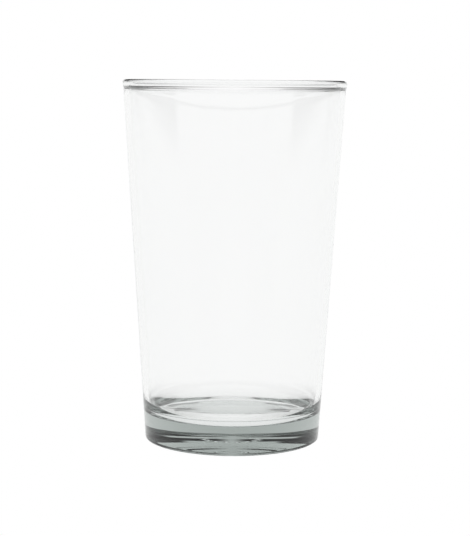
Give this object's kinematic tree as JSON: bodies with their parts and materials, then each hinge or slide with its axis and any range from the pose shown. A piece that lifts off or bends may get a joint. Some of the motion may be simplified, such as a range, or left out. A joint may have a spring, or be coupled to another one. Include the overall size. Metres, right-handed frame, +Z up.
{
  "type": "pint glass",
  "caption": "Straight-sided conical beer tumbler of clear pressed glass, open at the top, with a rounded rim and a thick flat base.",
  "frame": {"origin": "centre of the foot, on the surface that the glass stands on", "axes": "+Z up along the glass's axis, from the foot to the rim; the glass is round, so X and Y are any two level directions"},
  "size_m": [0.0876, 0.0876, 0.142],
  "materials": {
    "clear_glass": "clear, smooth, fire-polished soda-lime glass"
  },
  "bodies": {
    "root": {"glass": "clear_glass"}
  },
  "joints": []
}
